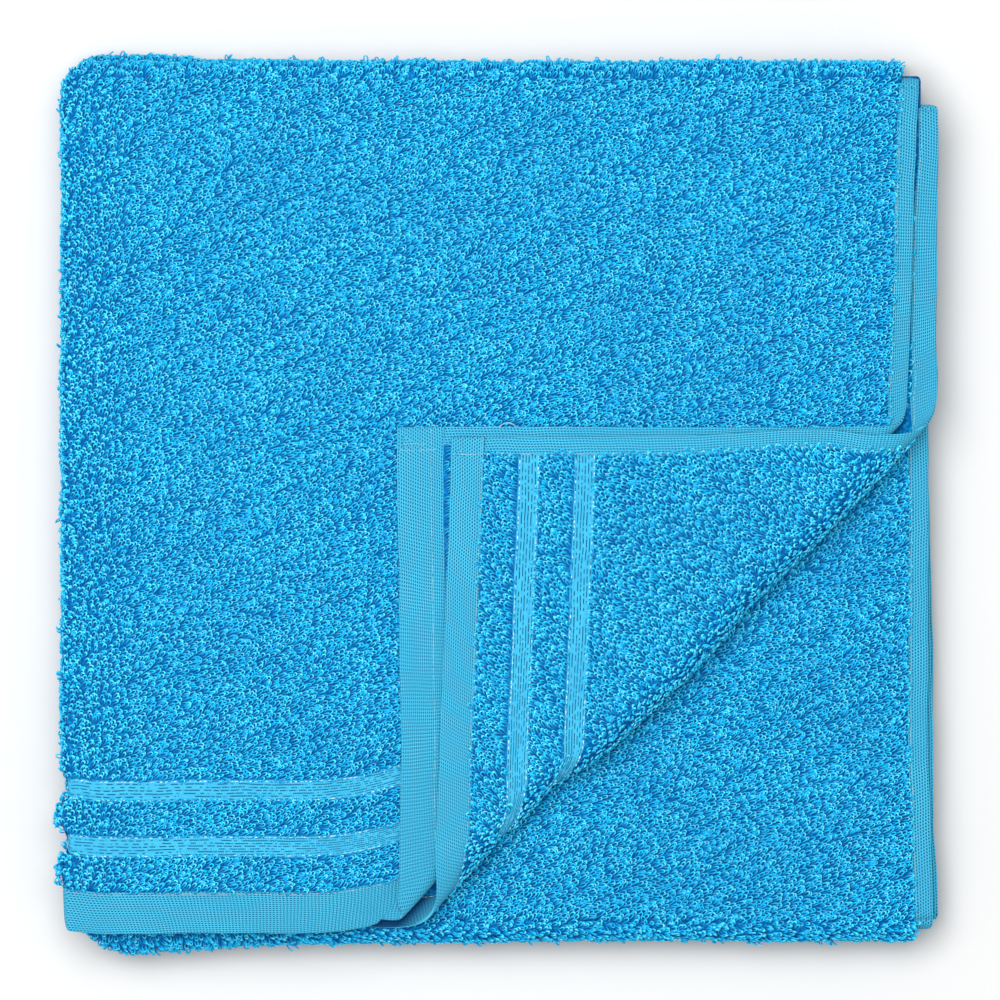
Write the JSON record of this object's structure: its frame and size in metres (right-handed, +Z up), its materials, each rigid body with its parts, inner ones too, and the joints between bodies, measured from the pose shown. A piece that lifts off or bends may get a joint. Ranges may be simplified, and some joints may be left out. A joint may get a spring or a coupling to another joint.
{
  "type": "folded bath towel",
  "caption": "Looped terry bath towel folded lengthwise and in quarters, with one corner of the top panel turned back; hems, woven stripes and seams are separate.",
  "frame": {"origin": "centre of the folded towel's footprint, on the surface it lies on", "axes": "+Z up, +Y towards the back cross fold, +X towards the side hems"},
  "size_m": [0.353, 0.354, 0.0432],
  "materials": {
    "terry_pile": "looped cotton terry, matt",
    "flat_hem": "flat ribbed cotton weave, matt",
    "woven_stripe": "flat dobby weave with twisted edge yarns, soft sheen",
    "seam_thread": "pale sewing thread"
  },
  "bodies": {
    "bottom_panel": {"bottom_panel_upper_terry": "terry_pile", "bottom_panel_lower_terry": "terry_pile", "bottom_panel_side_fold": "terry_pile", "bottom_panel_back_fold": "terry_pile", "bottom_panel_upper_side_hem": "flat_hem", "bottom_panel_lower_side_hem": "flat_hem", "bottom_panel_upper_end_hem": "flat_hem", "bottom_panel_lower_end_hem": "flat_hem", "bottom_panel_upper_stripes": "woven_stripe", "bottom_panel_upper_bands": "terry_pile", "bottom_panel_lower_stripes": "woven_stripe", "bottom_panel_lower_bands": "terry_pile", "bottom_panel_stitching": "seam_thread"},
    "lower_panel": {"lower_panel_upper_terry": "terry_pile", "lower_panel_lower_terry": "terry_pile", "lower_panel_side_fold": "terry_pile", "lower_panel_back_fold": "terry_pile", "lower_panel_front_fold": "terry_pile", "lower_panel_upper_side_hem": "flat_hem", "lower_panel_lower_side_hem": "flat_hem", "lower_panel_stitching": "seam_thread"},
    "middle_panel": {"middle_panel_upper_terry": "terry_pile", "middle_panel_lower_terry": "terry_pile", "middle_panel_side_fold": "terry_pile", "middle_panel_back_fold": "terry_pile", "middle_panel_front_fold": "terry_pile", "middle_panel_upper_side_hem": "flat_hem", "middle_panel_lower_side_hem": "flat_hem", "middle_panel_stitching": "seam_thread"},
    "top_panel": {"top_panel_upper_terry": "terry_pile", "top_panel_lower_terry": "terry_pile", "top_panel_side_fold": "terry_pile", "top_panel_back_fold": "terry_pile", "top_panel_corner_fold": "terry_pile", "top_panel_upper_side_hem": "flat_hem", "top_panel_lower_side_hem": "flat_hem", "top_panel_upper_end_hem": "flat_hem", "top_panel_lower_end_hem": "flat_hem", "top_panel_upper_outer_stripe": "woven_stripe", "top_panel_upper_outer_band": "terry_pile", "top_panel_upper_inner_stripe": "woven_stripe", "top_panel_upper_inner_band": "terry_pile", "top_panel_lower_stripes": "woven_stripe", "top_panel_lower_bands": "terry_pile", "top_panel_stitching": "seam_thread"},
    "corner_flap": {"corner_flap_outer_terry": "terry_pile", "corner_flap_inner_terry": "terry_pile", "corner_flap_fold": "terry_pile", "corner_flap_outer_side_hem": "flat_hem", "corner_flap_inner_side_hem": "flat_hem", "corner_flap_outer_end_hem": "flat_hem", "corner_flap_inner_end_hem": "flat_hem", "corner_flap_edge_stripe": "woven_stripe", "corner_flap_edge_band": "terry_pile", "corner_flap_field_stripe": "woven_stripe", "corner_flap_field_band": "terry_pile", "corner_flap_hidden_stripes": "woven_stripe", "corner_flap_hidden_bands": "terry_pile", "corner_flap_stitching": "seam_thread"}
  },
  "joints": [
    {"name": "lower_back_fold", "type": "hinge", "parent": "bottom_panel", "child": "lower_panel", "pos_m": [0, 0.17715, 0.00855], "axis": [-1, 0, 0], "range_deg": [0, 100]},
    {"name": "front_fold", "type": "hinge", "parent": "lower_panel", "child": "middle_panel", "pos_m": [0, -0.17715, 0.01725], "axis": [1, 0, 0], "range_deg": [0, 120]},
    {"name": "upper_back_fold", "type": "hinge", "parent": "middle_panel", "child": "top_panel", "pos_m": [0, 0.17715, 0.02595], "axis": [-1, 0, 0], "range_deg": [0, 179]},
    {"name": "corner_fold", "type": "hinge", "parent": "top_panel", "child": "corner_flap", "pos_m": [0.0706, -0.0706, 0.03465], "axis": [0.7071, 0.7071, 0], "range_deg": [0, 179]}
  ]
}
